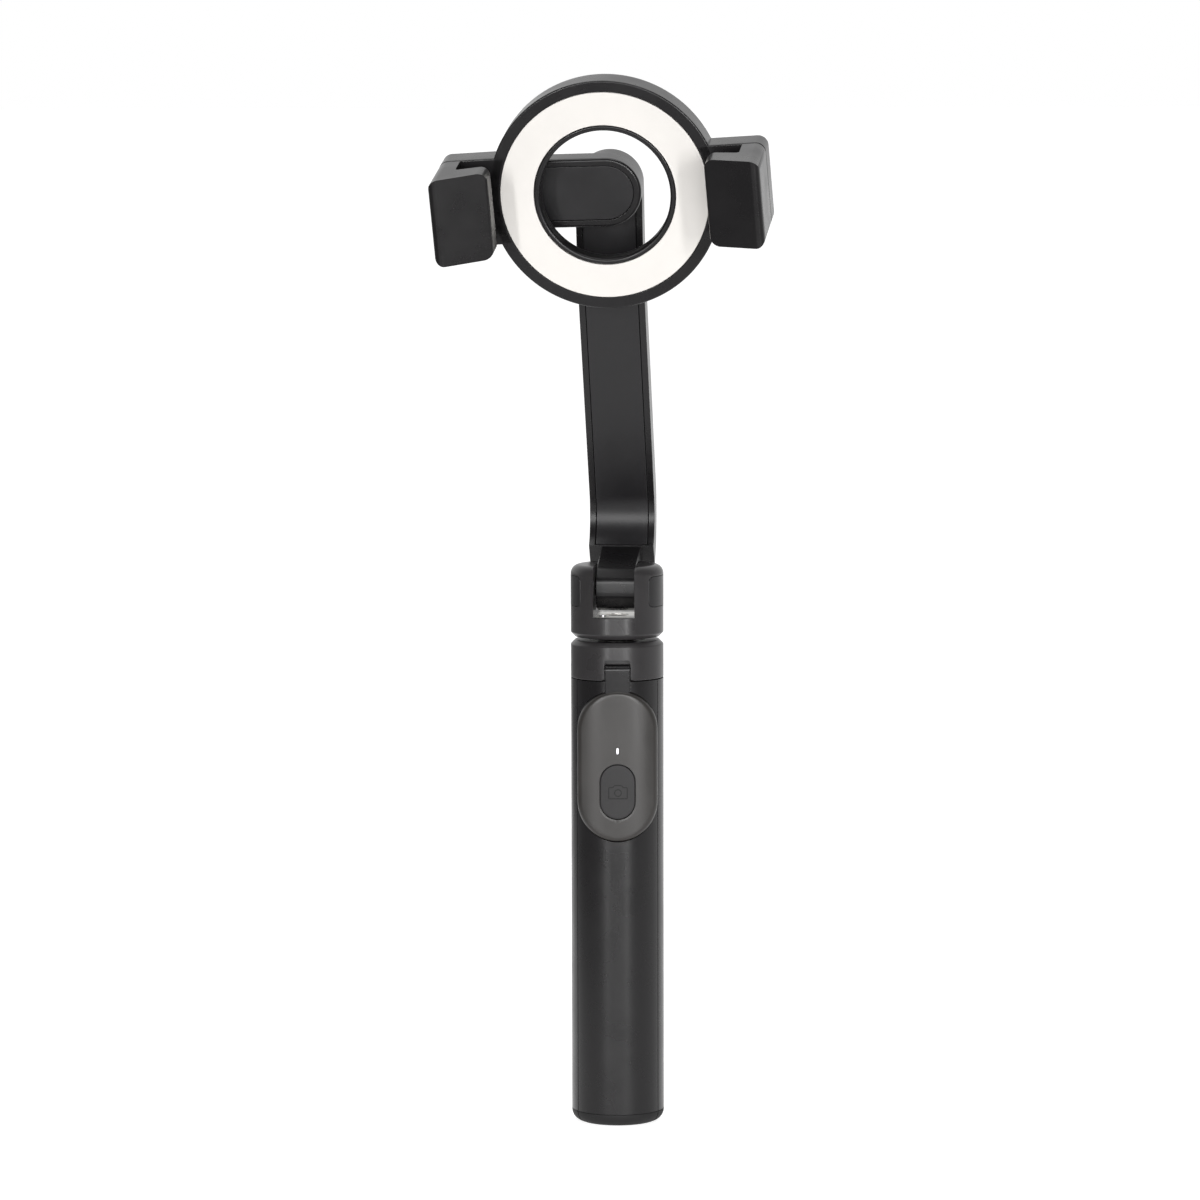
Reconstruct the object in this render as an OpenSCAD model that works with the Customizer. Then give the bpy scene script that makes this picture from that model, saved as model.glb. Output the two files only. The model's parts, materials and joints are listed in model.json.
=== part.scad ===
// Pocket tripod selfie stick with a magnetic phone ring, side jaws and a pull-off remote.
// Millimetres, Z up. The origin is the middle of the three rubber feet; the front is -Y.

/* [Handle] */
// Outside radius of the closed handle
handle_r = 13.8; // [12:0.1:18]
// Height of the top of the three legs
leg_top = 133.6; // [110:0.1:180]
// Height of the rubber foot caps
foot_h = 3.7; // [3:0.1:6]
// Clearance between neighbouring legs, measured as an angle on each side
leg_gap = 0.6; // [0.4:0.1:2]
// Inside radius of the legs
leg_in_r = 7.5; // [7.3:0.1:9]
// Width of the tongue at the top of each leg
tongue_w = 7.4; // [6:0.1:9]
// Radius from the stick axis to the leg pins
pin_reach = 12.2; // [11.8:0.1:12.4]

/* [Collar] */
// Height of the top of the leg collar
collar_top = 145.1; // [140:0.1:190]
// Width of each leg notch
notch_w = 7.8; // [7:0.1:9.5]
// Height of each leg notch
notch_h = 5.7; // [5.2:0.1:7]

/* [Pole] */
// Outside radius of the fixed tube
tube_r = 7.2; // [6.8:0.05:7.3]
// Step in radius from one pole section to the next
tube_step = 0.85; // [0.8:0.05:1]
// Wall of each tube
tube_wall = 0.4; // [0.3:0.05:0.45]
// Length of each pole section
pole_len = 132; // [100:1:150]

/* [Clevis] */
// Height of the underside of the clevis
clevis_z = 146; // [141:0.1:191]
// Height of the arm hinge axis
hinge_z = 159.9; // [155:0.1:205]
// Width of the clevis slot
slot_w = 12.3; // [11:0.1:14]
// Turn of the clevis about the stick axis
head_yaw = -5; // [-10:0.05:10]

/* [Arm] */
// Width of the arm
arm_w = 19.5; // [16:0.1:22]
// Thickness of the arm
arm_t = 8; // [6:0.1:8]
// Width of the neck between the clevis ears
neck_w = 11.8; // [10:0.1:12]
// Nod of the phone head below level
nod = 12.8; // [5:0.1:20]
// Lean of the straight part of the arm
lean = 30; // [25:0.5:35]

/* [Phone head] */
// Outside radius of the magnetic ring
ring_r = 33.6; // [32:0.1:37]
// Outside radius of the bright face ring
face_r = 30.2; // [29:0.1:32]
// Inside radius of the bright face ring
face_in_r = 20.6; // [20:0.1:23]
// Radius of the hole through the ring
hole_r = 18.9; // [18:0.1:20]
// Thickness of the ring at its rim
ring_t = 9.5; // [8:0.1:10]
// Distance from the ring centre to the outside of each jaw
jaw_x = 47.4; // [45:0.1:55]
// Half the height of the wings
wing_h = 12.8; // [11:0.1:15]
// Roll of the bracket on the arm
roll = -1.5; // [-6:0.1:6]
// Roll of the ring on the bracket
ring_roll = -2.4; // [-4:0.1:4]
// Opening of the ring from the bracket
ajar = 1.6; // [0:0.1:6]

/* [Remote] */
// Width of the remote
remote_w = 23.8; // [22:0.1:24]
// Height of the remote
remote_h = 45; // [40:0.1:46]
// Height of the middle of the remote
remote_z = 108.5; // [100:0.1:109]
// Front radius of the remote
remote_r = 30; // [14.5:0.5:40]

/* [Hidden] */
$fn = 64;
collar_z = leg_top + 0.2;
pin_z = collar_z + 3.1;
s_r = [tube_r - tube_step, tube_r - 2 * tube_step, tube_r - 3 * tube_step, tube_r - 4 * tube_step];
tube_in = tube_r - tube_wall;
floor_z = -7.6;
clevis_top = 7.6;
face_y = -35.4;
face_z = 118.5;
mid = 12.3;
s0 = [face_y + mid * cos(nod), face_z + mid * sin(nod)];
s1 = s0 + 12 * [sin(nod), -cos(nod)];
bend_r = 28 / ((lean - nod) * PI / 180);
c1 = s1 + bend_r * [cos(nod), sin(nod)];
s2 = c1 - bend_r * [cos(lean), sin(lean)];
heel_r = 16;
heel_z = 20.8;
s3z = heel_z + heel_r * sin(lean);
s3 = [s2[0] + (s2[1] - s3z) * tan(lean), s3z];
ch = s3 - heel_r * [cos(lean), sin(lean)];
hx = -29;
hy = 2.9;
rx = 1;
rz = 2;
remote_y = remote_r - 14.5;
btn_z = 100.9;
led_z = 113.1;

// ---------- frames ----------
module head() {
  translate([0, 0, hinge_z]) rotate([0, 0, head_yaw]) children();
}
module nodding() {
  head() translate([0, face_y, face_z]) rotate([nod, 0, 0]) rotate([0, roll, 0]) children();
}
module ringed() {
  nodding() translate([hx, hy, 0]) rotate([0, 0, -ajar]) translate([rx - hx, -0.6 - ring_t - hy, rz])
    rotate([0, ring_roll, 0]) children();
}
// a flat outline in X and Z pushed back along Y from y0 to y1
module flat(y0, y1) {
  translate([0, y1, 0]) rotate([90, 0, 0]) linear_extrude(y1 - y0) children();
}
// a ring outline of radius and depth turned about Y
module turned() {
  rotate([90, 0, 0]) mirror([0, 0, 1]) rotate_extrude() children();
}
// an outline of depth and height pushed across X
module across(w) {
  rotate([90, 0, 90]) translate([0, 0, -w / 2]) linear_extrude(w) children();
}
module stadium(w, h) {
  translate([0, h / 2 - w / 2]) circle(w / 2);
  translate([0, w / 2 - h / 2]) circle(w / 2);
  square([w, h - w], center = true);
}
module rounded(w, h, r) {
  square([w - 2 * r, h], center = true);
  square([w, h - 2 * r], center = true);
  for (i = [-1, 1], j = [-1, 1]) translate([i * (w / 2 - r), j * (h / 2 - r)]) circle(r);
}

// ---------- legs ----------
module sector(a) {
  rotate([0, 0, -90 - a]) rotate_extrude(angle = 2 * a) children();
}
module leg_body(hollow_top) {
  difference() {
    union() {
      sector(60 - leg_gap) translate([leg_in_r, foot_h]) square([handle_r - leg_in_r, leg_top - foot_h]);
      tongue();
    }
    sector(50) translate([leg_in_r - 1, 12]) square([12 - leg_in_r + 1, hollow_top - 12]);
    sector(40) translate([9.2, foot_h - 1]) square([2.4, 6.3]);
    translate([0, -pin_reach, pin_z]) rotate([0, 90, 0]) cylinder(r = 0.82, h = 20, center = true);
  }
}
module tongue() {
  translate([0, -pin_reach, pin_z]) rotate([0, 90, 0]) cylinder(r = 1.5, h = tongue_w, center = true);
  translate([-tongue_w / 2, -pin_reach - 1.5, leg_top - 4]) cube([tongue_w, 3, pin_z - leg_top + 4]);
}
module foot_body() {
  sector(60 - leg_gap) polygon([[leg_in_r, 0.5], [leg_in_r + 0.5, 0], [10.3, 0], [11.8, 0.35],
    [13, 1.3], [13.65, 2.5], [handle_r, foot_h], [leg_in_r, foot_h]]);
  sector(40) translate([9.2, foot_h - 0.5]) square([2.4, 5.8]);
}
module leg_front() {
  color("#323032") difference() {
    leg_body(80);
    translate([0, 0, remote_z]) flat(-20, -8.45) stadium(remote_w + 0.4, remote_h + 0.4);
    translate([0, -7.6, 122]) cube([7, 3, 5], center = true);
  }
}
module foot_front() {
  color("#1c1c1e") foot_body();
}
module dock_magnet() {
  color("#b8babd") translate([0, -8, 122]) cube([7, 0.8, 5], center = true);
}
module leg_left() {
  color("#323032") rotate([0, 0, -120]) leg_body(120);
}
module foot_left() {
  color("#1c1c1e") rotate([0, 0, -120]) foot_body();
}
module leg_right() {
  color("#323032") rotate([0, 0, 120]) leg_body(120);
}
module foot_right() {
  color("#1c1c1e") rotate([0, 0, 120]) foot_body();
}

// ---------- collar and fixed tube ----------
module leg_collar() {
  color("#323032") difference() {
    rotate_extrude() polygon([[tube_r, collar_z], [handle_r, collar_z], [handle_r, collar_top - 1.3],
      [handle_r - 1.3, collar_top], [7.9, collar_top], [7.9, collar_top - 2], [tube_r, collar_top - 2]]);
    for (a = [-120, 0, 120]) rotate([0, 0, a]) {
      flat(-16, -10.2) translate([-notch_w / 2, collar_z - 1]) square([notch_w, notch_h + 1]);
      flat(-16, -10.2) polygon([[-5.25, collar_z - 1], [5.25, collar_z - 1], [5.25, collar_z],
        [notch_w / 2, collar_z + 1.5], [-notch_w / 2, collar_z + 1.5], [-5.25, collar_z]]);
      translate([0, -pin_reach, pin_z]) rotate([0, 90, 0]) cylinder(r = 0.75, h = 9.2, center = true);
    }
  }
}
module collar_bush() {
  color("#d8d8d8") difference() {
    translate([0, 0, collar_top - 2]) cylinder(r = 7.9, h = 1.9);
    translate([0, 0, collar_top - 3]) cylinder(r = s_r[0] + 0.06, h = 4);
  }
}
module leg_pins() {
  color("#b8babd") for (a = [-120, 0, 120]) rotate([0, 0, a])
    translate([0, -pin_reach, pin_z]) rotate([0, 90, 0]) cylinder(r = 0.75, h = 9, center = true);
}
module outer_tube() {
  color("#9a9b9e") difference() {
    translate([0, 0, 2]) cylinder(r = tube_r, h = collar_top - 4);
    translate([0, 0, 1]) cylinder(r = tube_in, h = collar_top);
  }
}
module tube_plug() {
  color("#1c1c1e") {
    cylinder(r = tube_r, h = 2);
    translate([0, 0, 1]) cylinder(r = tube_in, h = 6);
  }
}

// ---------- pole ----------
module pole_tube(i) {
  color("#b4b5b8") difference() {
    translate([0, 0, 144.8 - pole_len]) cylinder(r = s_r[i], h = pole_len);
    translate([0, 0, 144.7 - pole_len]) cylinder(r = s_r[i] - tube_wall, h = i < 3 ? pole_len - 2 : pole_len + 1);
    translate([0, 0, 140]) cylinder(r = s_r[i] - (i < 3 ? tube_step - 0.06 : tube_wall), h = 10);
  }
}
module pole_bush(i) {
  color("#d8d8d8") difference() {
    translate([0, 0, 140.8 - pole_len]) cylinder(r = (i == 0 ? tube_in : s_r[i - 1] - tube_wall) - 0.06, h = 4);
    translate([0, 0, 140 - pole_len]) cylinder(r = s_r[i] - tube_wall, h = 6);
  }
}
module pole_1() {
  pole_tube(0);
}
module bush_1() {
  pole_bush(0);
}
module pole_2() {
  pole_tube(1);
}
module bush_2() {
  pole_bush(1);
}
module pole_3() {
  pole_tube(2);
}
module bush_3() {
  pole_bush(2);
}
module pole_4() {
  pole_tube(3);
}
module bush_4() {
  pole_bush(3);
}
module pole_cap() {
  color("#b4b5b8") difference() {
    union() {
      translate([0, 0, 134]) cylinder(r = s_r[3] - tube_wall, h = 11.2);
      translate([0, 0, 144.95]) cylinder(r = 5.9, h = 0.9);
    }
    translate([0, 0, 137]) cylinder(r = 1.5, h = 10);
  }
}
module swivel_bolt() {
  color("#b8babd") {
    translate([0, 0, 137]) cylinder(r = 1.5, h = 14.2);
    difference() {
      translate([0, 0, 149.7]) cylinder(r = 3.4, h = 1.5);
      translate([0, 0, 150.7]) cylinder(r = 1.3, h = 1, $fn = 6);
    }
  }
}

// ---------- clevis ----------
module ear_pad(y) {
  intersection() {
    rotate([90, 0, 90]) linear_extrude(30, center = true) rounded(18.8 - y, 9.2 - y, 1.5);
    difference() {
      cylinder(r = handle_r, h = 12, center = true);
      cylinder(r = handle_r - 0.9, h = 14, center = true);
    }
  }
}
module clevis() {
  color("#323032") head() difference() {
    rotate_extrude() polygon([[0, clevis_z - hinge_z], [handle_r - 1.3, clevis_z - hinge_z],
      [handle_r, clevis_z - hinge_z + 1.3], [handle_r, clevis_top - 2.6], [handle_r - 0.35, clevis_top - 1.3],
      [handle_r - 1.3, clevis_top - 0.35], [handle_r - 2.6, clevis_top], [0, clevis_top]]);
    translate([-slot_w / 2, -20, floor_z]) cube([slot_w, 40, 30]);
    translate([0, 0, floor_z - 2.6]) cylinder(r = 3.8, h = 10);
    translate([0, 0, -20]) cylinder(r = 1.55, h = 20);
    translate([-slot_w / 2, -9, floor_z - 0.5]) cube([slot_w, 18, 5]);
    translate([-3.9, -5, floor_z - 3.5]) cylinder(r = 0.5, h = 5);
    rotate([0, 90, 0]) cylinder(r = 1.5, h = 40, center = true);
    ear_pad(0);
  }
}
module slot_plate() {
  color("#dcdcdc") head() difference() {
    translate([-slot_w / 2, -9, floor_z - 0.5]) cube([slot_w, 18, 0.5]);
    translate([0, 0, floor_z - 1]) cylinder(r = 3.6, h = 2);
    translate([-3.9, -5, floor_z - 1]) cylinder(r = 0.5, h = 5);
  }
}
module plate_screw() {
  color("#b8babd") head() translate([-3.9, -5, floor_z]) {
    translate([0, 0, -3.5]) cylinder(r = 0.5, h = 3.5);
    cylinder(r = 1.1, h = 0.25);
  }
}
module ear_cover_left() {
  color("#3a383a") head() intersection() {
    ear_pad(0.16);
    translate([-20, -20, -20]) cube([20, 40, 40]);
  }
}
module ear_cover_right() {
  color("#3a383a") head() intersection() {
    ear_pad(0.16);
    translate([0, -20, -20]) cube([20, 40, 40]);
  }
}
module hinge_pin() {
  color("#b8babd") head() rotate([0, 90, 0]) cylinder(r = 1.5, h = 2 * (handle_r - 1.1), center = true);
}

// ---------- arm ----------
// the wall of the arm between two offsets from its middle line, the front side positive
module arm_line(a, b, e0, e1) {
  translate(s0) rotate(nod) translate([-b, -12.5]) square([b - a, 12.5 + e0]);
  intersection() {
    translate(c1) difference() {
      circle(bend_r + b, $fn = 128);
      circle(bend_r + a, $fn = 128);
    }
    polygon([c1, c1 - 200 * [cos(nod), sin(nod)], c1 - 200 * [cos(lean), sin(lean)]]);
  }
  translate(s2) rotate(lean) translate([-b, -norm(s3 - s2) - 0.3])
    square([b - a, norm(s3 - s2) + 0.8]);
  intersection() {
    translate(ch) difference() {
      circle(heel_r - a);
      circle(heel_r - b);
    }
    polygon([ch, ch + 60 * [cos(lean), sin(lean)], ch + [80, 0], ch + 60 * [cos(e1), -sin(e1)]]);
  }
}
module arm_plan() {
  nodding() translate([0, mid, 0]) rotate([90, 0, 0]) cylinder(r = arm_w / 2, h = arm_t + 8, center = true);
  head() translate([-arm_w / 2, -60, -20]) cube([arm_w, 120, 20 + s0[1]]);
}
module arm_frame() {
  color("#323032") difference() {
    union() {
      intersection() {
        head() across(arm_w) arm_line(-arm_t / 2, arm_t / 2, 20, 50);
        arm_plan();
      }
      head() across(neck_w) {
        circle(6.45);
        polygon([[-6.44, 0.4], [-5.7, 3.8], [-4.5, 5.6], [-3, 6.55], [ch[0] + 12.1 * cos(50), ch[1] - 12.1 * sin(50)],
          [ch[0] + 19.6 * cos(50), ch[1] - 19.6 * sin(50)], [12, 2.2], [6, -1], [3.6, -5.3], [0, 0]]);
      }
    }
    head() across(15.8) arm_line(arm_t / 2 - 1.2, arm_t / 2 + 1, 8, 50);
    head() across(15.2) arm_line(-2.4, 1.6, -9, 15);
    nodding() translate([0, 7, 0]) rotate([-90, 0, 0]) cylinder(r = 2.55, h = 12);
    nodding() translate([0, mid - 2, 0]) rotate([-90, 0, 0]) cylinder(r = 5.4, h = 12);
    head() rotate([0, 90, 0]) cylinder(r = 2.2, h = 20, center = true);
  }
}
module arm_cover() {
  color("#3a383a") difference() {
    intersection() {
      head() across(15.5) arm_line(arm_t / 2 - 1.2, arm_t / 2, 7.7, 48.5);
      union() {
        nodding() translate([0, mid, 0]) rotate([90, 0, 0]) cylinder(r = 7.75, h = 20, center = true);
        head() translate([-10, -60, -20]) cube([20, 120, 20 + s0[1]]);
      }
    }
    nodding() translate([0, 7, 0]) rotate([-90, 0, 0]) cylinder(r = 2.55, h = 12);
  }
}
module arm_cap() {
  color("#3a383a") nodding() translate([0, mid + 2.6, 0]) rotate([-90, 0, 0]) cylinder(r = 5.4, h = 1.2);
}
module barrel_sleeve() {
  color("#c8a860") head() rotate([0, 90, 0]) difference() {
    cylinder(r = 2.2, h = neck_w, center = true);
    cylinder(r = 1.55, h = 20, center = true);
  }
}

// ---------- bracket ----------
module bracket_outline(d) {
  circle(10.2 - d);
  translate([-25.6 + d, d - 10.2]) square([25.6 - d, 20.4 - 2 * d]);
}
module bracket() {
  color("#323032") nodding() difference() {
    union() {
      flat(0.6, 8) bracket_outline(0);
      flat(0, 0.7) bracket_outline(0.6);
      translate([hx, hy, -5]) cylinder(r = 2.9, h = 10);
      translate([hx, 0, -5]) cube([4, 5.8, 10]);
    }
    flat(-1, 0.8) bracket_outline(2.1);
    rotate([-90, 0, 0]) cylinder(r = 2.5, h = 12);
    rotate([-90, 0, 0]) cylinder(r = 4.2, h = 2.6);
    translate([-13, 3, 0]) flat(0, 10) rounded(14, 13, 1.5);
    translate([hx, hy, -12]) cylinder(r = 0.9, h = 24);
  }
}
module bracket_cover() {
  color("#3a383a") nodding() flat(0, 0.8) bracket_outline(2.3);
}
module swivel_rivet() {
  color("#b8babd") nodding() rotate([-90, 0, 0]) {
    translate([0, 0, 1]) cylinder(r = 4.1, h = 1.6);
    translate([0, 0, 1]) cylinder(r = 2.5, h = 11.4);
  }
}
module swivel_washer() {
  color("#b8babd") nodding() rotate([-90, 0, 0]) difference() {
    translate([0, 0, 10.4]) cylinder(r = 5.1, h = 1.4);
    cylinder(r = 2.5, h = 14);
  }
}
module tilt_pin() {
  color("#b8babd") nodding() translate([hx, hy, -8.9]) cylinder(r = 0.9, h = 17.8);
}

// ---------- magnetic ring ----------
module both() {
  children();
  mirror([1, 0, 0]) children();
}
module wing_outline(d) {
  translate([27 + d, d - wing_h]) square([jaw_x - 30 - 2 * d, 2 * wing_h - 2 * d]);
  translate([38, d - wing_h + 3]) square([jaw_x - 38 - d, 2 * wing_h - 6 - 2 * d]);
  for (j = [-1, 1]) translate([jaw_x - 3 - d, j * (wing_h - 3 - d)]) circle(3);
}
module ring_body() {
  color("#323032") ringed() difference() {
    union() {
      turned() polygon([[hole_r, 0.6], [hole_r + 0.6, 0], [ring_r - 0.7, 0], [ring_r, 0.7],
        [ring_r, ring_t - 0.5], [ring_r - 0.5, ring_t], [hole_r, ring_t]]);
      both() flat(0, ring_t) wing_outline(0);
    }
    turned() translate([face_in_r - 0.1, -1]) square([face_r - face_in_r + 0.2, 2]);
    turned() translate([20.3, 2.2]) square([32 - 20.3, 20]);
    turned() translate([0, 3.9]) square([29, 20]);
    both() {
      flat(2.2, 20) translate([33.3, -11.3]) square([12.6, 22.6]);
      flat(8, 20) translate([29, -11.3]) square([16.9, 22.6]);
      flat(-1, 4) translate([33.9, -3.1]) square([12, 6.2]);
    }
    for (a = [45:90:315]) rotate([0, a, 0]) translate([31, 2.3, 0]) rotate([-90, 0, 0]) cylinder(r = 0.5, h = 10);
  }
}
module ring_back() {
  color("#3a383a") ringed() difference() {
    union() {
      turned() polygon([[hole_r, 3.9], [20.2, 3.9], [20.2, 4.6], [25, 4.6], [29.8, 8], [31.9, 8],
        [31.9, ring_t], [29.4, ring_t], [24.6, 6], [hole_r + 0.6, 6], [hole_r, 5.4]]);
      both() flat(8, ring_t) translate([31.4, -11.2]) square([14.4, 22.4]);
      rotate([0, -ring_roll, 0]) for (z = [-9, 5.3]) translate([hx - rx, ring_t + 0.6 + hy, z - rz]) {
        cylinder(r = 2.9, h = 3.7);
        translate([-2.9, -4.1, 0]) cube([5.8, 4.1, 3.7]);
      }
    }
    rotate([0, -ring_roll, 0]) translate([hx - rx, ring_t + 0.6 + hy, -20]) cylinder(r = 0.96, h = 40);
    for (a = [45:90:315]) rotate([0, a, 0]) translate([31, 5, 0]) rotate([-90, 0, 0]) cylinder(r = 0.5, h = 10);
  }
}
module ring_face() {
  color("#f0ece9") ringed() difference() {
    flat(0, 1) circle(face_r);
    flat(-1, 2) circle(face_in_r);
  }
}
module ring_magnets() {
  color("#8c8e92") ringed() for (a = [0:22.5:337.5]) rotate([0, a, 0])
    translate([25.5, 3, 0]) cube([7.6, 1.6, 7.2], center = true);
}
module ring_shunt() {
  color("#b8babd") ringed() difference() {
    flat(3.8, 4.4) circle(29.8);
    flat(3, 5) circle(21.1);
  }
}
module ring_screws() {
  color("#b8babd") ringed() for (a = [45:90:315]) rotate([0, a, 0]) translate([31, 0, 0]) rotate([-90, 0, 0]) {
    translate([0, 0, 2.4]) cylinder(r = 0.5, h = ring_t - 2.4);
    translate([0, 0, ring_t]) cylinder(r = 0.85, h = 0.3);
  }
}

// ---------- jaws ----------
module hook_plan() {
  polygon([[40.8, 0.35], [jaw_x, 0.35], [jaw_x, 20.2], [jaw_x - 0.7, 21.9], [jaw_x - 2.2, 22.6], [jaw_x - 4, 21.95],
    [32.4, 16.9], [31.4, 16.1], [31, 15], [31, 9.2], [32, 8.2], [40.8, 10.8]]);
}
module hook() {
  difference() {
    intersection() {
      translate([0, 0, -20]) mirror([0, 1, 0]) linear_extrude(40) hook_plan();
      flat(-30, 0) translate([(31 + jaw_x) / 2, 0]) rounded(jaw_x - 31, 2 * wing_h - 0.2, 3);
    }
    translate([39.8, -8, -10]) cube([1.8, 6, 20]);
    translate([33.6, -9.9, -10]) cube([6, 1.6, 20]);
  }
  flat(-0.4, 2.4) translate([41.3, -2.9]) square([4.4, 5.8]);
}
module hook_liner() {
  translate([40.2, -8, -10]) cube([1.4, 6, 20]);
}
module hook_slide() {
  flat(2.4, 4.2) translate([40.5, -5.5]) square([5.2, 11]);
}
module hook_brake() {
  flat(4.2, 7.8) translate([41.2, -4]) square([3.8, 8]);
}
module jaw_right() {
  color("#323032") ringed() hook();
}
module jaw_right_liner() {
  color("#1c1c1e") ringed() hook_liner();
}
module jaw_right_slide() {
  color("#b8babd") ringed() hook_slide();
}
module jaw_right_brake() {
  color("#1c1c1e") ringed() hook_brake();
}
module jaw_left() {
  color("#323032") ringed() mirror([1, 0, 0]) hook();
}
module jaw_left_liner() {
  color("#1c1c1e") ringed() mirror([1, 0, 0]) hook_liner();
}
module jaw_left_slide() {
  color("#b8babd") ringed() mirror([1, 0, 0]) hook_slide();
}
module jaw_left_brake() {
  color("#1c1c1e") ringed() mirror([1, 0, 0]) hook_brake();
}

// ---------- remote ----------
module remote_solid(d, back) {
  intersection() {
    translate([0, 0, remote_z]) flat(-20, back) stadium(remote_w - 2 * d, remote_h - 2 * d);
    translate([0, remote_y, 0]) cylinder(r = remote_r - d, h = 200, $fn = 160);
  }
}
module remote_top() {
  color("#2c2c2e") difference() {
    remote_solid(0, -9.7);
    remote_solid(1.1, -5);
    translate([0, 0, btn_z]) flat(-20, -5) stadium(10.7, 16.6);
    translate([0, 0, led_z]) flat(-20, -5) stadium(1.1, 2.1);
  }
}
module remote_base() {
  color("#2c2c2e") difference() {
    union() {
      remote_solid(0, -8.6);
      for (z = [89.6, 127.3]) translate([0, 0, z]) flat(-12.4, -9) circle(1.3);
    }
    difference() {
      remote_solid(-1, -9.7);
      for (z = [89.6, 127.3]) translate([0, 0, z]) flat(-12.4, -9) circle(1.3);
    }
    for (z = [89.6, 127.3]) translate([0, 0, z]) flat(-12, -8) circle(0.5);
  }
}
module remote_board() {
  color("#1f5a3a") translate([0, 0, 109.1]) flat(-11.7, -11.1) rounded(11.6, 33.6, 1);
}
module remote_cell() {
  color("#c8cacc") translate([0, 0, 111.1]) flat(-11, -9.8) circle(6);
}
module remote_switch() {
  color("#b8babd") translate([0, 0, btn_z]) flat(-12.9, -11.7) rounded(4, 4, 0.4);
}
module remote_led() {
  color("#ffffff") translate([0, 0, led_z]) flat(-14.45, -11.7) stadium(1, 2);
}
module remote_screws() {
  color("#b8babd") for (z = [89.6, 127.3]) translate([0, 0, z]) flat(-12, -8.6) circle(0.5);
}
module shutter_button() {
  color("#3a383a") difference() {
    intersection() {
      translate([0, 0, btn_z]) flat(-20, -13.55) stadium(10.4, 16.3);
      translate([0, remote_y, 0]) cylinder(r = remote_r + 0.15, h = 200, $fn = 160);
    }
    translate([0, 0, btn_z]) flat(-14.2, -13) circle(0.8);
  }
}

leg_collar();
collar_bush();
outer_tube();
tube_plug();
leg_pins();
leg_front();
foot_front();
dock_magnet();
leg_left();
foot_left();
leg_right();
foot_right();
remote_base();
remote_top();
remote_board();
remote_cell();
remote_switch();
remote_led();
remote_screws();
shutter_button();
pole_1();
bush_1();
pole_2();
bush_2();
pole_3();
bush_3();
pole_4();
bush_4();
pole_cap();
swivel_bolt();
clevis();
slot_plate();
plate_screw();
ear_cover_left();
ear_cover_right();
hinge_pin();
arm_frame();
arm_cover();
arm_cap();
barrel_sleeve();
bracket();
bracket_cover();
swivel_rivet();
swivel_washer();
tilt_pin();
ring_body();
ring_back();
ring_face();
ring_magnets();
ring_shunt();
ring_screws();
jaw_left();
jaw_left_liner();
jaw_left_slide();
jaw_left_brake();
jaw_right();
jaw_right_liner();
jaw_right_slide();
jaw_right_brake();
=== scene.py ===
import json
from math import atan2, ceil, cos, degrees, hypot, pi, radians, sin, sqrt, tan

import bmesh
import bpy
from mathutils import Matrix, Vector


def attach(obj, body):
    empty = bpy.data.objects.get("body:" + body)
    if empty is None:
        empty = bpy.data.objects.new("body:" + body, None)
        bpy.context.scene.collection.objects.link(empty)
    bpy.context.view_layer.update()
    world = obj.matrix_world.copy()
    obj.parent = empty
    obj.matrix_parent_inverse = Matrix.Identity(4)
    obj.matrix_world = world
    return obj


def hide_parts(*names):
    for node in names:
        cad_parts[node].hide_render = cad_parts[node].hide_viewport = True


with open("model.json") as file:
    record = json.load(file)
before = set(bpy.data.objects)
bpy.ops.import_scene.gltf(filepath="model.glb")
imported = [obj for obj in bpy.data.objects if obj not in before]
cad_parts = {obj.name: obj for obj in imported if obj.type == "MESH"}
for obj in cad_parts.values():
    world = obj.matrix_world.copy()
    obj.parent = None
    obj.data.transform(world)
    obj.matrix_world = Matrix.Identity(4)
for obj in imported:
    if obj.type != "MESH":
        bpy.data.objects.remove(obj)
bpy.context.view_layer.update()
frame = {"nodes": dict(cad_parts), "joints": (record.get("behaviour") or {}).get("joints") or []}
nodes = frame["nodes"]
joints = {j["name"]: j for j in frame["joints"]}
MM = 0.001

# ---------- driving sizes, in millimetres and degrees, as in the CAD model ----------
# Handle: three legs round a fixed tube
HANDLE_R = 13.8
LEG_HALF = 59.4  # half the angle that a leg covers
LEG_IN = 7.5
LEG_TOP = 133.6
FOOT_H = 3.7
PIN_REACH = 12.2  # leg pin, from the middle of the stick
# Leg collar, with a notch over each leg
COLLAR_Z = 133.8
COLLAR_TOP = 145.1
NOTCH_W = 7.8
NOTCH_H = 6.2  # 0.5 taller than the CAD's, as in the photograph
# Clevis, with heights from the arm's hinge
CLEVIS_LOW = -13.9
CLEVIS_TOP = 7.6
SLOT_W = 12.3
SLOT_FLOOR = -7.6
EAR_W = 18.8
EAR_H = 9.2
EAR_CORNER = 1.6
# Arm: above the heel it leans forward by LEAN, and at its end by NOD
ARM_W = 19.5
ARM_T = 8.0
NECK_W = 11.8
NOD = 12.8
LEAN = 30.0
SWIVEL = (-35.4, 118.5)  # the bracket's swivel from the arm's hinge, in y and z
ARM_MID = 12.3  # from the bracket's face to the middle of the arm's wall
HEEL_R = 16.0
HEEL_Z = 20.8
# Bracket between the arm and the ring
BRACKET_R = 10.2
BRACKET_LEFT = -25.6
SWIVEL_IN = 4.0  # the swivel joint, behind the bracket's face
TILT = (-29.0, 2.9)  # tilt pin, from the swivel
# Magnetic ring with a wing on each side
RING_R = 33.6
RING_T = 9.5
FACE_R = 30.2
FACE_IN = 20.6
HOLE_R = 18.9
RING_GAP = 0.6  # between the ring's back and the bracket
RING_OFF = (1.0, 2.0)  # the ring's middle from the swivel, right and up
WING_H = 12.8
JAW_X = 47.4
LIP_X = 31.0  # inner end of a jaw's lip
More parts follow.
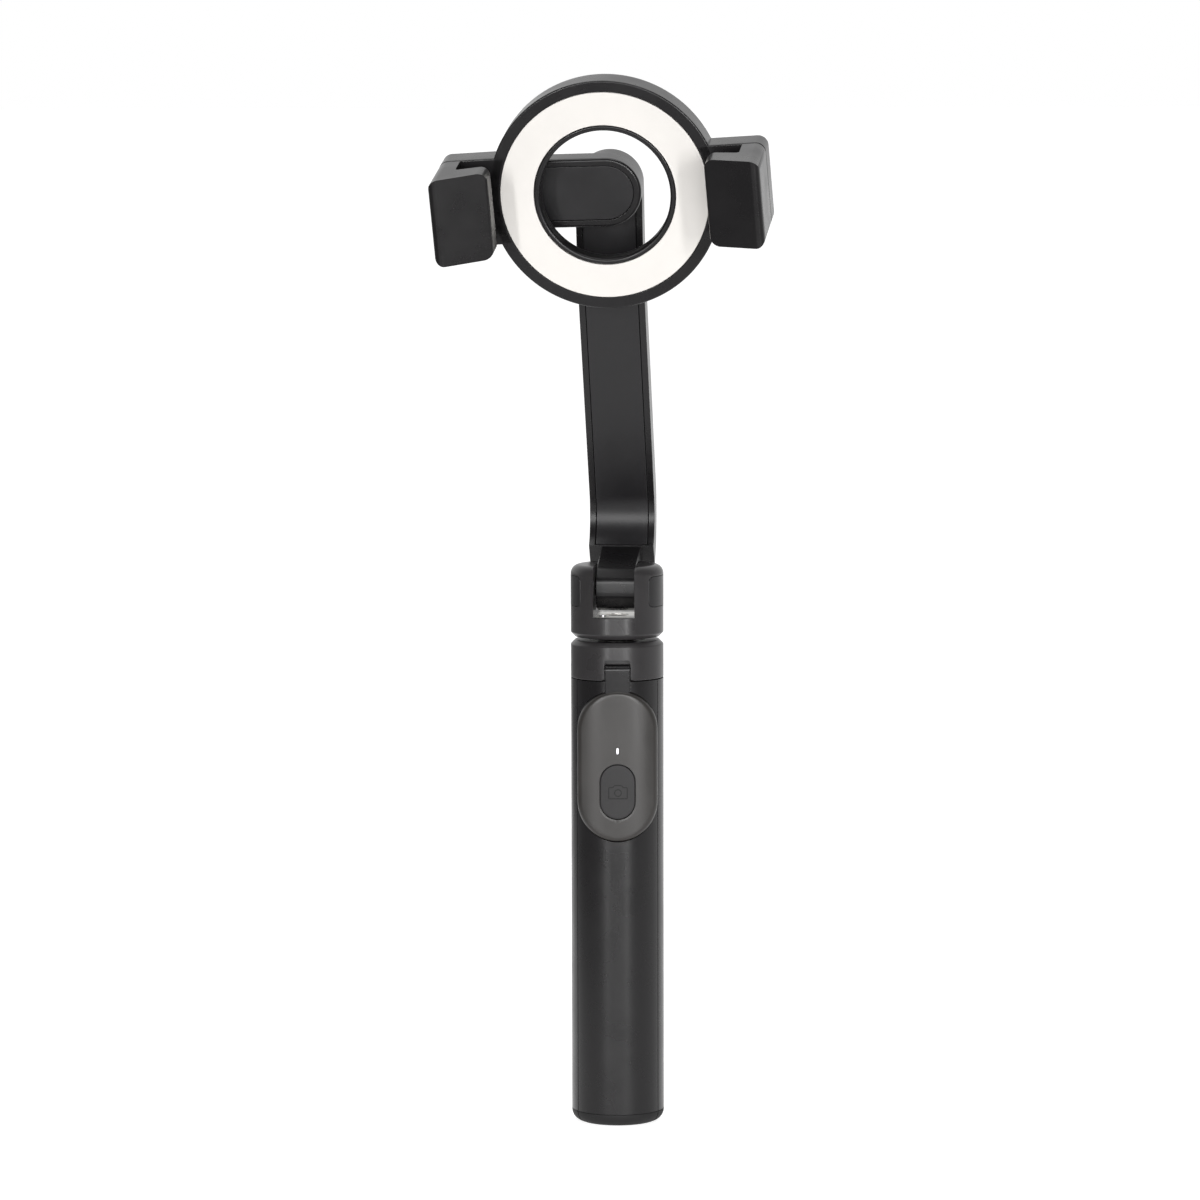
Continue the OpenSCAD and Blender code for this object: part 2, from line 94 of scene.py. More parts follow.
# Remote with a shutter button and a lamp
REMOTE_W = 23.8
REMOTE_H = 45.0
REMOTE_Z = 108.5
REMOTE_R = 30.0
REMOTE_Y = REMOTE_R - 14.5  # axis of the rounded front
BUTTON_W = 10.4
BUTTON_H = 16.3
BUTTON_Z = 100.9
BUTTON_R = REMOTE_R + 0.12
LAMP_W = 0.72
LAMP_H = 1.9
LAMP_Z = 113.1


# ---------- frames ----------
def axes(origin, x, y, z):
    m = Matrix.Identity(4)
    for col, v in enumerate((x, y, z)):
        for row in range(3):
            m[row][col] = v[row]
    m.translation = Vector(origin)
    return m


STICK = Matrix.Identity(4)
UP = Vector((0, 0, 1))
fold_axis = Vector(joints["arm_fold"]["axis"])
HEAD = axes(joints["arm_fold"]["pos_m"], fold_axis, UP.cross(fold_axis), UP)
swivel_axis = Vector(joints["bracket_turn"]["axis"])
tilt_axis = Vector(joints["ring_tilt"]["axis"])
bracket_face = Vector(joints["bracket_turn"]["pos_m"]) - SWIVEL_IN * MM * swivel_axis
BRACKET = axes(bracket_face, swivel_axis.cross(tilt_axis), swivel_axis, tilt_axis)
jaw_axis = Vector(joints["right_jaw_slide"]["axis"])
ring_back = tilt_axis.cross(jaw_axis).normalized()
tilt_frame = axes(joints["ring_tilt"]["pos_m"], ring_back.cross(tilt_axis), ring_back, tilt_axis)
ring_centre = tilt_frame @ (
    MM * Vector((RING_OFF[0] - TILT[0], -RING_T - RING_GAP - TILT[1], RING_OFF[1]))
)
RING = axes(ring_centre, jaw_axis, ring_back, jaw_axis.cross(ring_back))


# ---------- outlines ----------
SAME = 1e-4  # points nearer than this are one point


def arc(cx, cy, r, a0, a1, step=5.0):
    n = max(2, ceil(abs(a1 - a0) / step))
    angles = [radians(a0 + (a1 - a0) * i / n) for i in range(n + 1)]
    return [(cx + r * cos(t), cy + r * sin(t)) for t in angles]


def filleted(corners, step=12.0):
    """A closed outline from (x, y, radius) corners."""
    out = []
    n = len(corners)
    for i, (px, py, r) in enumerate(corners):
        if r <= 0:
            out.append((px, py))
            continue
        p = Vector((px, py))
        a = (Vector(corners[i - 1][:2]) - p).normalized()
        b = (Vector(corners[(i + 1) % n][:2]) - p).normalized()
        half = a.angle(b) / 2
        reach = r / tan(half)
        centre = p + (a + b).normalized() * (r / sin(half))
        s, e = p + a * reach - centre, p + b * reach - centre
        a0 = degrees(atan2(s.y, s.x))
        turn = (degrees(atan2(e.y, e.x)) - a0 + 180) % 360 - 180
        out += arc(centre.x, centre.y, r, a0, a0 + turn, step)
    return out


def stadium(w, h, step=5.0):
    r = w / 2
    return arc(0, h / 2 - r, r, 0, 180, step) + arc(0, r - h / 2, r, 180, 360, step)


def rounded(w, h, r, step=12.0):
    x, y = w / 2, h / 2
    return filleted([(x, -y, r), (x, y, r), (-x, y, r), (-x, -y, r)], step)


def box(x0, x1, half, sign=1):
    """A rectangle from x0 to x1, mirrored in x by a sign of -1."""
    return [(sign * x, y) for x, y in ((x0, -half), (x1, -half), (x1, half), (x0, half))]


def moved(outline, x, y):
    return [(px + x, py + y) for px, py in outline]


def edges(outline):
    return zip(outline, outline[1:] + outline[:1])


def area(outline):
    return sum(x0 * y1 - x1 * y0 for (x0, y0), (x1, y1) in edges(outline)) / 2


def inset(outline, d):
    """The outline moved inwards by d; it runs anticlockwise."""
    n = len(outline)
    out = []
    for i in range(n):
        p, a, b = Vector(outline[i]), Vector(outline[i - 1]), Vector(outline[(i + 1) % n])
        u, v = (p - a).normalized(), (b - p).normalized()
        nu, nv = Vector((-u.y, u.x)), Vector((-v.y, v.x))
        out.append(tuple(p + (nu + nv) * (d / (1 + nu.dot(nv)))))
    return out


def clean(outline):
    """The outline without doubled points, anticlockwise."""
    kept = []
    for x, y in outline:
        if not kept or hypot(x - kept[-1][0], y - kept[-1][1]) > SAME:
            kept.append((x, y))
    if hypot(kept[0][0] - kept[-1][0], kept[0][1] - kept[-1][1]) < SAME:
        kept.pop()
    return kept if area(kept) > 0 else kept[::-1]


# ---------- solids, as meshes in millimetres ----------
FLAT = (0, 2, 1)  # outline in x and z, pushed along y
ACROSS = (2, 0, 1)  # outline in y and z, pushed along x
SHARP = 40.0  # edges sharper than this stay crisp


def made(bm, order=None):
    """The mesh as an object, with its axes taken in the given order."""
    if order:
        for v in bm.verts:
            v.co = Vector([v.co[i] for i in order])
    bmesh.ops.recalc_face_normals(bm, faces=bm.faces)
    me = bpy.data.meshes.new("solid")
    bm.to_mesh(me)
    bm.free()
    o = bpy.data.objects.new("solid", me)
    bpy.context.scene.collection.objects.link(o)
    return o


def dropped(o):
    me = o.data
    bpy.data.objects.remove(o)
    bpy.data.meshes.remove(me)


def prism(outline, low, high, near=0.0, far=0.0, order=None, steps=4):
    """The outline pushed from low to high, its two ends rounded by near and far."""
    outline = clean(outline)
    levels = []
    for i in range(steps + 1) if near else [steps]:
        t = pi / 2 * i / steps
        levels.append((low + near * (1 - cos(t)), near * (1 - sin(t))))
    for i in range(steps, -1, -1) if far else [steps]:
        t = pi / 2 * i / steps
        levels.append((high - far * (1 - cos(t)), far * (1 - sin(t))))
    bm = bmesh.new()
    rings = []
    for z, d in levels:
        pts = inset(outline, d) if d else outline
        rings.append([bm.verts.new((x, y, z)) for x, y in pts])
    n = len(outline)
    for lo, hi in zip(rings, rings[1:]):
        for i in range(n):
            bm.faces.new((lo[i], lo[(i + 1) % n], hi[(i + 1) % n], hi[i]))
    bm.faces.new(rings[0][::-1])
    bm.faces.new(rings[-1])
    return made(bm, order)


def turned(profile, a0=0.0, a1=360.0, step=3.0, order=None):
    """A closed (radius, height) profile turned about Z, or a sector of it."""
    whole = abs(a1 - a0) >= 360
    n = ceil((a1 - a0) / step)
    bm = bmesh.new()
    profile = clean(profile)
    poles = {i: bm.verts.new((0, 0, h)) for i, (r, h) in enumerate(profile) if r < SAME}
    rings = []
    for k in range(n if whole else n + 1):
        t = radians(a0 + (a1 - a0) * k / n)
        points = [(r * cos(t), r * sin(t), h) for r, h in profile]
        rings.append([poles.get(i) or bm.verts.new(p) for i, p in enumerate(points)])
    for k in range(n):
        a, b = rings[k], rings[(k + 1) % len(rings)]
        for i in range(len(profile)):
            j = (i + 1) % len(profile)
            corners = []
            for v in (a[i], b[i], b[j], a[j]):
                if v not in corners:
                    corners.append(v)
            if len(corners) > 2:
                bm.faces.new(corners)
    if not whole:
        bm.faces.new(rings[0])
        bm.faces.new(rings[-1][::-1])
    return made(bm, order)


def applied(o):
    """The object with its modifiers turned into mesh."""
    view = bpy.context.evaluated_depsgraph_get()
    view.update()
    me = bpy.data.meshes.new_from_object(o.evaluated_get(view))
    old = o.data
    o.modifiers.clear()
    o.data = me
    bpy.data.meshes.remove(old)
    return o


def combined(o, tools, how="DIFFERENCE"):
    """Cuts the tools from the object, or keeps what it shares with them."""
    for t in tools:
        m = o.modifiers.new("combine", "BOOLEAN")
        m.operation = how
        m.solver = "EXACT"
        m.object = t
        applied(o)
        dropped(t)
    return o


def joined(o, *others):
    """One mesh of several solids, left to overlap."""
    bm = bmesh.new()
    bm.from_mesh(o.data)
    for t in others:
        bm.from_mesh(t.data)
        dropped(t)
    bm.to_mesh(o.data)
    bm.free()
    return o


def softened(o, width, segments=3, angle=32.0):
    """Rounds every edge sharper than angle."""
    bm = bmesh.new()
    bm.from_mesh(o.data)
    bmesh.ops.remove_doubles(bm, verts=bm.verts, dist=0.002)
    bmesh.ops.dissolve_degenerate(bm, edges=bm.edges, dist=0.002)
    bmesh.ops.dissolve_limit(bm, angle_limit=radians(0.3), verts=bm.verts, edges=bm.edges)
    bm.to_mesh(o.data)
    bm.free()
    m = o.modifiers.new("edge", "BEVEL")
    m.width = width
    m.segments = segments
    m.limit_method = "ANGLE"
    m.angle_limit = radians(angle)
    m.use_clamp_overlap = True
    m.miter_outer = "MITER_ARC"
    return applied(o)


def placed(o, name, body, at, finish, replaced=()):
    """Moves a finished solid into the model's frame, in metres, and lets it ride on its body."""
    o.name = name
    o.data.name = name
    o.data.transform(at @ Matrix.Scale(MM, 4))
    for p in o.data.polygons:
        p.use_smooth = True
    o.data.set_sharp_from_angle(angle=radians(SHARP))
    m = o.modifiers.new("normals", "WEIGHTED_NORMAL")
    m.keep_sharp = True
    m.weight = 60
    o.data.materials.clear()
    o.data.materials.append(finish)
    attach(o, body)
    if replaced:
        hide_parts(*replaced)
    return o


# ---------- materials ----------
def linear(rgb):
    """A screen colour as the shader's linear one."""
    return tuple((c / 12.92 if c <= 0.04045 else ((c + 0.055) / 1.055) ** 2.4) for c in rgb)


def finish_of(
    name, rgb, rough, metal=0.0, mottle=0.06, spread=0.05, grain=0.0, grain_scale=2500.0,
    specular=0.5,
):
    """A procedural finish: colour with faint mottling, uneven gloss and a fine moulded grain."""
    mat = bpy.data.materials.new(name)
    mat.use_nodes = True
    tree = mat.node_tree
    shader = tree.nodes["Principled BSDF"]
    shader.inputs["Metallic"].default_value = metal
    shader.inputs["Specular IOR Level"].default_value = specular
    where = tree.nodes.new("ShaderNodeTexCoord")
    cloud = tree.nodes.new("ShaderNodeTexNoise")
    cloud.inputs["Scale"].default_value = 90.0
    cloud.inputs["Detail"].default_value = 5.0
    tree.links.new(where.outputs["Object"], cloud.inputs["Vector"])
    tint = tree.nodes.new("ShaderNodeValToRGB")
    dark = linear([c * (1 - mottle) for c in rgb])
    light = linear([min(1.0, c * (1 + mottle)) for c in rgb])
    tint.color_ramp.elements[0].position = 0.3
    tint.color_ramp.elements[1].position = 0.7
    tint.color_ramp.elements[0].color = (*dark, 1)
    tint.color_ramp.elements[1].color = (*light, 1)
    tree.links.new(cloud.outputs["Fac"], tint.inputs["Fac"])
    tree.links.new(tint.outputs["Color"], shader.inputs["Base Color"])
    gloss = tree.nodes.new("ShaderNodeMapRange")
    gloss.inputs["From Min"].default_value = 0.3
    gloss.inputs["From Max"].default_value = 0.7
    gloss.inputs["To Min"].default_value = max(0.03, rough - spread)
    gloss.inputs["To Max"].default_value = min(1.0, rough + spread)
    tree.links.new(cloud.outputs["Fac"], gloss.inputs["Value"])
    tree.links.new(gloss.outputs["Result"], shader.inputs["Roughness"])
    if grain:
        speck = tree.nodes.new("ShaderNodeTexNoise")
        speck.inputs["Scale"].default_value = grain_scale
        speck.inputs["Detail"].default_value = 2.0
        tree.links.new(where.outputs["Object"], speck.inputs["Vector"])
        bump = tree.nodes.new("ShaderNodeBump")
        bump.inputs["Strength"].default_value = grain
        bump.inputs["Distance"].default_value = 0.00004
        tree.links.new(speck.outputs["Fac"], bump.inputs["Height"])
        tree.links.new(bump.outputs["Normal"], shader.inputs["Normal"])
    return mat


def satin(name, rgb, rough, specular):
    """A moulded satin plastic."""
    return finish_of(name, rgb, rough, grain=0.3, spread=0.04, specular=specular)


def metal(name, rgb, rough, **more):
    """A bare metal."""
    return finish_of(name, rgb, rough, metal=1.0, **more)


BODY = satin("satin_black", (0.065, 0.061, 0.065), 0.28, 0.28)
HUB = satin("satin_black_hub", (0.15, 0.145, 0.148), 0.3, 0.27)
COVER = satin("satin_black_cover", (0.095, 0.092, 0.097), 0.34, 0.27)
REMOTE = finish_of("remote_black", (0.15, 0.143, 0.138), 0.34, grain=0.2, specular=0.32)
BUTTON = finish_of("button_black", (0.12, 0.117, 0.12), 0.5, grain=0.2, specular=0.22)
MARK = finish_of("button_mark", (0.07, 0.068, 0.07), 0.6, mottle=0.03, specular=0.2)
LAMP = finish_of("lamp_white", (0.86, 0.86, 0.88), 0.3, mottle=0.01)
RUBBER = finish_of(
    "foot_rubber", (0.09, 0.088, 0.09), 0.6, grain=0.6, grain_scale=1800.0, specular=0.2
)
SILVER = finish_of(
    "face_silver", (0.735, 0.724, 0.71), 0.6, mottle=0.01, grain=0.12, specular=0.25
)
POLISHED = finish_of(
    "plate_bright", (0.93, 0.92, 0.9), 0.3, metal=0.35, mottle=0.02, spread=0.03
)
NYLON = finish_of("white_bush", (0.86, 0.86, 0.84), 0.5, grain=0.2)
BOARD = finish_of("board_green", (0.10, 0.34, 0.22), 0.35, mottle=0.15)
STEEL = metal("pin_steel", (0.72, 0.72, 0.73), 0.3, mottle=0.05, grain=0.2)
TUBE = metal("tube_metal", (0.66, 0.66, 0.67), 0.34, mottle=0.02, spread=0.02)
MAGNET = metal("magnet_metal", (0.68, 0.68, 0.70), 0.25)
BRASS = metal("sleeve_brass", (0.80, 0.68, 0.40), 0.3)

# ---------- handle ----------
LEGS = {"front": 0.0, "left": -120.0, "right": 120.0}
SEAT_Y = -8.45  # floor of the remote's seat
SEAT_GAP = 0.4
HOLLOW_R = 12.0
HOLLOW_LOW = 12.0
HOLLOW_TOP = {"front": 80.0, "left": 120.0, "right": 120.0}  # the front leg carries the seat
HOLLOW_HALF = 50.0
KNUCKLE_R = 1.8
KNUCKLE_Z = LEG_TOP + 3.3
KNUCKLE_HALF = 3.7
FOOT_R = 3.4


def sector(profile, half=LEG_HALF, step=2.0):
    return turned(profile, -90 - half, -90 + half, step)


def slab(r0, r1, z0, z1):
    return [(r0, z0), (r1, z0), (r1, z1), (r0, z1)]


for side, turn in LEGS.items():
    at = Matrix.Rotation(radians(turn), 4, "Z")
    shell = sector(slab(LEG_IN, HANDLE_R, FOOT_H + 0.06, LEG_TOP))
    hollow = slab(LEG_IN - 1.5, HOLLOW_R, HOLLOW_LOW, HOLLOW_TOP[side])
    holes = [sector(hollow, HOLLOW_HALF)]
    if side == "front":
        seat = moved(stadium(REMOTE_W + SEAT_GAP, REMOTE_H + SEAT_GAP), 0, REMOTE_Z)
        holes.append(prism(seat, -20, SEAT_Y, order=FLAT))
    combined(shell, holes)
    softened(shell, 0.4)
    knuckle = prism(
        arc(-PIN_REACH, KNUCKLE_Z, KNUCKLE_R, 0, 180)
        + [(-PIN_REACH - 1.6, LEG_TOP - 4), (KNUCKLE_R - PIN_REACH, LEG_TOP - 4)],
        -KNUCKLE_HALF, KNUCKLE_HALF, 0.3, 0.3, ACROSS,
    )
    joined(shell, knuckle)
    body = f"{side}_leg"
    placed(shell, f"leg_{side}_shell", body, at, BODY, [f"leg_{side}"])
    foot = sector(
        [(LEG_IN, 0.5), (LEG_IN + 0.5, 0.0)]
        + arc(HANDLE_R - FOOT_R, FOOT_R, FOOT_R, -90, 0, 15)
        + [(HANDLE_R, FOOT_H), (LEG_IN, FOOT_H)]
    )
    softened(foot, 0.22)
    placed(foot, f"foot_{side}_cap", body, at, RUBBER, [f"foot_{side}"])

# ---------- leg collar ----------
COLLAR_IN = 7.2
COLLAR_LIP = 7.9
CHAMFER = 1.3  # on the rims where collar and clevis meet
NOTCH_FLARE = 1.35
NOTCH_CORNER = 0.9
NOTCH_Y = -10.2  # back of the notch
collar = turned(
    filleted(
        [
            (COLLAR_IN, COLLAR_Z, 0), (HANDLE_R, COLLAR_Z, 0.35),
            (HANDLE_R, COLLAR_TOP - CHAMFER, 0.6), (HANDLE_R - CHAMFER, COLLAR_TOP, 0.5),
            (COLLAR_LIP, COLLAR_TOP, 0.3), (COLLAR_LIP, COLLAR_TOP - 2, 0),
            (COLLAR_IN, COLLAR_TOP - 2, 0),
        ]
    ),
    step=2.5,
)
mouth = NOTCH_W / 2 + NOTCH_FLARE
corner_x, corner_z = NOTCH_W / 2 - NOTCH_CORNER, COLLAR_Z + NOTCH_H - NOTCH_CORNER
notch = (
    [(-mouth, COLLAR_Z - 1), (mouth, COLLAR_Z - 1)]
    + arc(mouth, COLLAR_Z + NOTCH_FLARE, NOTCH_FLARE, 270, 180, 15)
    + arc(corner_x, corner_z, NOTCH_CORNER, 0, 90, 15)
    + arc(-corner_x, corner_z, NOTCH_CORNER, 90, 180, 15)
    + arc(-mouth, COLLAR_Z + NOTCH_FLARE, NOTCH_FLARE, 0, -90, 15)
)
notches = []
for turn in LEGS.values():
    tool = prism(notch, -16, NOTCH_Y, order=FLAT)
    tool.data.transform(Matrix.Rotation(radians(turn), 4, "Z"))
    notches.append(tool)
combined(collar, notches)
softened(collar, 0.22)
placed(collar, "leg_collar_ring", "hub", STICK, HUB, ["leg_collar"])

# ---------- clevis, in the frame of the arm hinge ----------
clevis_rim = filleted(
    [
        (0, CLEVIS_LOW, 0), (HANDLE_R - CHAMFER, CLEVIS_LOW, 0.5),
        (HANDLE_R, CLEVIS_LOW + CHAMFER, 0.6), (HANDLE_R, CLEVIS_TOP, 2.7), (0, CLEVIS_TOP, 0),
    ]
)
clevis = turned(clevis_rim, step=2.5)
slot = filleted(
    [
        (-SLOT_W / 2, SLOT_FLOOR, 0.4), (SLOT_W / 2, SLOT_FLOOR, 0.4),
        (SLOT_W / 2, 20, 0), (-SLOT_W / 2, 20, 0),
    ]
)
slot_tool = prism(slot, -20, 20, order=FLAT)
plate_seat = prism(box(-6.1, 6.1, 9), SLOT_FLOOR - 0.5, SLOT_FLOOR + 1)


def ear_shell(gap, low_r, high_r):
    """A curved slab on each side of the clevis, gap smaller than the ear's outline."""
    shell = turned(slab(low_r, high_r, -7, 7), step=2.0)
    outline = rounded(EAR_W - gap, EAR_H - gap, EAR_CORNER, 10)
    return combined(shell, [prism(outline, -30, 30, order=ACROSS)], "INTERSECT")


combined(clevis, [slot_tool, plate_seat, ear_shell(0, HANDLE_R - 0.9, HANDLE_R + 1)])
softened(clevis, 0.4)
placed(clevis, "clevis_body", "clevis", HEAD, HUB, ["clevis"])
for side, sign in (("left", -1), ("right", 1)):
    cover = ear_shell(0.3, HANDLE_R - 0.85, HANDLE_R + 0.02)
    combined(cover, [prism(box(0, 20, 20, sign), -20, 20)], "INTERSECT")
    softened(cover, 0.14, 2)
    node = f"ear_cover_{side}"
    placed(cover, f"{node}_pad", "clevis", HEAD, COVER, [node])

# ---------- arm, in the frame of its hinge: outlines in (y, z) ----------
TOP_RUN = 12.0  # straight wall at the arm's end
BEND_RUN = 28.0  # length of the bend from nod to lean
END_DROP = 0.6  # centre of the round end, below the swivel
PAST_END = 20.0  # strips run past the end and are cut round there
COVER_W = 15.5
COVER_SEAM = 0.3
NECK_SLOPE = 50.0


def facing(angle):
    """The direction from the wall's front to its back, tilted up by angle."""
    return Vector((cos(radians(angle)), sin(radians(angle))))


down = Vector((facing(NOD).y, -facing(NOD).x))
arm_end = Vector(SWIVEL) + ARM_MID * facing(NOD)
bend_top = arm_end + TOP_RUN * down
bend_r = BEND_RUN / radians(LEAN - NOD)
bend_c = bend_top + bend_r * facing(NOD)
bend_low = bend_c - bend_r * facing(LEAN)
heel_top_z = HEEL_Z + HEEL_R * facing(LEAN).y
heel_top_y = bend_low.x + (bend_low.y - heel_top_z) * tan(radians(LEAN))
heel_top = Vector((heel_top_y, heel_top_z))
heel_c = heel_top - HEEL_R * facing(LEAN)


def arm_stations(below):
    """Points of the wall's middle line and their facing, to the angle below on the heel."""
    line = [(arm_end - PAST_END * down, facing(NOD)), (bend_top, facing(NOD))]
    for i in range(1, 13):
        n = facing(NOD + (LEAN - NOD) * i / 12)
        line.append((bend_c - bend_r * n, n))
    for i in range(25):
        n = facing(LEAN - (LEAN + below) * i / 24)
        line.append((heel_c + HEEL_R * n, n))
    return line


def ribbon(width, front, rear, below):
    """A strip of the arm's wall between two offsets from the middle line, front ones positive."""
    bm = bmesh.new()
    rings = []
    xs = (-width / 2, width / 2, width / 2, -width / 2)
    for p, n in arm_stations(below):
        near, far = p - n * front, p - n * rear
        corners = zip(xs, (near, near, far, far))
        rings.append([bm.verts.new((x, q.x, q.y)) for x, q in corners])
    for a, b in zip(rings, rings[1:]):
        for i in range(4):
            bm.faces.new((a[i], a[(i + 1) % 4], b[(i + 1) % 4], b[i]))
    bm.faces.new(rings[0])
    bm.faces.new(rings[-1][::-1])
    return made(bm)


def strip(width, front, rear, below):
    """A ribbon with the arm's round end, which is seen along the swivel."""
    r = width / 2
    outline = arc(0, -END_DROP, r, 0, 180, 4) + [(-r, -150), (r, -150)]
    tool = prism(outline, -60, 60, order=FLAT)
    middle = Matrix.Translation((0, arm_end.x, arm_end.y))
    tool.data.transform(middle @ Matrix.Rotation(radians(NOD), 4, "X"))
    return combined(ribbon(width, front, rear, below), [tool], "INTERSECT")


arm = strip(ARM_W, ARM_T / 2, -ARM_T / 2, 50)
seat = strip(COVER_W + COVER_SEAM, ARM_T / 2 + 1, ARM_T / 2 - 0.9, 47.5)
combined(arm, [seat])
softened(arm, 0.75, 4)
neck_dir = facing(-NECK_SLOPE)
neck_front, neck_rear = heel_c + 12.15 * neck_dir, heel_c + 19.5 * neck_dir
neck = prism(
    filleted(
        [
            (3.9, -5.2, 0), (0.5, -6.42, 1.5), (-4.0, -5.1, 3), (-6.5, -1.5, 3.5),
            (-6.5, 3.4, 3.2), (-3.6, 6.6, 2.2), (*neck_front, 0), (*neck_rear, 0),
            (12, 2.2, 3), (6, -1, 3),
        ]
    ),
    -NECK_W / 2, NECK_W / 2, 0.35, 0.35, ACROSS,
)
joined(arm, neck)
placed(arm, "arm_shell", "arm", HEAD, BODY, ["arm_frame"])
cover = strip(COVER_W, ARM_T / 2 - 0.02, ARM_T / 2 - 0.85, 46.5)
softened(cover, 0.2, 2)
placed(cover, "arm_front_cover", "arm", HEAD, COVER, ["arm_cover"])

# ---------- bracket, in its own frame: face at y 0, swivel at the origin ----------
BRACKET_T = 7.4  # 0.6 thinner than the CAD's, as the gap to the arm shows in the photograph
BRACKET_CORNER = 1.6
TILT_R = 2.9
INLAY_T = 0.8


def bracket_plan(d):
    """The bracket's outline, d inside its edge."""
    r = BRACKET_R - d
    x, z = BRACKET_LEFT + d + BRACKET_CORNER, r - BRACKET_CORNER
    return (
        arc(0, 0, r, -90, 90, 4)
        + arc(x, z, BRACKET_CORNER, 90, 180, 15)
        + arc(x, -z, BRACKET_CORNER, 180, 270, 15)
    )


bracket = prism(bracket_plan(0), 0, BRACKET_T, 0.9, 0.4, FLAT, 5)
pocket = prism(bracket_plan(2.1), -1, INLAY_T, order=FLAT)
recess = prism(moved(rounded(14, 13, 1.5), -13, 0), 3, 10, order=FLAT)
combined(bracket, [pocket, recess])
softened(bracket, 0.12, 2)
root = BRACKET_LEFT + 2
knuckle = prism(
    arc(*TILT, TILT_R, 90, 270, 8) + [(root, TILT[1] - TILT_R), (root, TILT[1] + TILT_R)],
    -5, 5, 0.3, 0.3,
)
joined(bracket, knuckle)
placed(bracket, "bracket_body", "bracket", BRACKET, BODY, ["bracket"])
inlay = prism(bracket_plan(2.3), 0.04, INLAY_T, 0.16, 0, FLAT, 2)
placed(inlay, "bracket_inlay", "bracket", BRACKET, COVER, ["bracket_cover"])

# ---------- magnetic ring, in its own frame: front face at y 0 ----------
FACE_SEAM = 0.12
BACK_SEAT_R = 32.0
WALL_Y = 5.0  # back of the ring's inner wall
WING_IN = 27.0  # where the wing runs into the ring
ROOM_Y = 2.2  # front of the jaw slide's room
# In the wing: from x, to x, and half the height
ROOM = (33.3, 45.9, 11.3)  # for the jaw slide
JAW_NECK = (41.3, 45.7, 2.9)
JAW_SLOT = (33.9, 45.9, 3.1)


def slide_room(sign):
    return prism(box(*ROOM, sign), ROOM_Y, 20, order=FLAT)


seam_in, seam_out = FACE_IN - FACE_SEAM, FACE_R + FACE_SEAM
ring = turned(
    filleted(
        [
            (HOLE_R, WALL_Y, 0.3), (HOLE_R, 0, 0.8), (seam_in, 0, 0.45), (seam_in, 1, 0),
            (seam_out, 1, 0), (seam_out, 0, 0.15), (RING_R, 0, 0.5), (RING_R, RING_T, 0.7),
            (BACK_SEAT_R, RING_T, 0.1), (BACK_SEAT_R, WALL_Y, 0),
        ],
        10,
    ),
    step=2.0, order=FLAT,
)
wings = []
for sign in (-1, 1):
    plan = filleted(
        [(WING_IN, -WING_H, 0), (JAW_X, -WING_H, 3), (JAW_X, WING_H, 3), (WING_IN, WING_H, 0)],
        10,
    )
    wing = prism([(sign * x, z) for x, z in plan], 0, RING_T, 0.5, 0.5, FLAT, 3)
    jaw_slot = prism(box(*JAW_SLOT, sign), -1, 3, order=FLAT)
    ring_space = turned(slab(0, FACE_R + 0.6, -5, 20), step=2.0, order=FLAT)
    combined(wing, [jaw_slot, slide_room(sign), ring_space])
    wings.append(wing)
    combined(ring, [slide_room(sign)])
joined(ring, *wings)
placed(ring, "ring_housing", "ring", RING, BODY, ["ring_body"])
face_plan = [(FACE_IN, 0, 0.14), (FACE_R, 0, 0.14), (FACE_R, 0.95, 0), (FACE_IN, 0.95, 0)]
face = turned(filleted(face_plan, 30), step=2.0, order=FLAT)
placed(face, "ring_face_plate", "ring", RING, SILVER, ["ring_face"])

# ---------- jaws, in the ring's frame ----------
GRIP_X = 40.8  # inside of the jaw's wall
JAW_ROOT_Y = -0.35
JAW_TIP_Y = -23.7
for side, sign in (("left", -1), ("right", 1)):
    plan = filleted(
        [
            (GRIP_X, JAW_ROOT_Y, 0.2), (JAW_X, JAW_ROOT_Y, 0.4), (JAW_X, JAW_TIP_Y, 1.8),
            (LIP_X + 0.05, -16.2, 1.2), (LIP_X + 0.05, -8.0, 1.2), (GRIP_X, -10.7, 0.8),
        ],
        12,
    )
    jaw = prism([(sign * x, y) for x, y in plan], -WING_H - 2, WING_H + 2)
    front = moved(rounded(JAW_X - LIP_X, 2 * WING_H - 0.2, 3, 10), (JAW_X + LIP_X) / 2, 0)
    front_tool = prism([(sign * x, z) for x, z in front], -40, 5, order=FLAT)
    combined(jaw, [front_tool], "INTERSECT")
    softened(jaw, 0.55, 4, 45)
    joined(jaw, prism(box(*JAW_NECK, sign), -0.4, 2.4, order=FLAT))
    node, body = f"jaw_{side}", f"{side}_jaw"
    placed(jaw, f"{node}_hook", body, RING, BODY, [node])


# ---------- remote ----------
CASE_BACK = -8.6
CASE_ROUND = 1.3
WELL_Y = -12.9
WELL_GAP = 0.35
KEY_BACK = -13.5
LAMP_BACK = -13.2
MARK_W = 0.3


def front_y(x, r):
    """The y of a front of radius r at x."""
    return REMOTE_Y - sqrt(r * r - x * x)


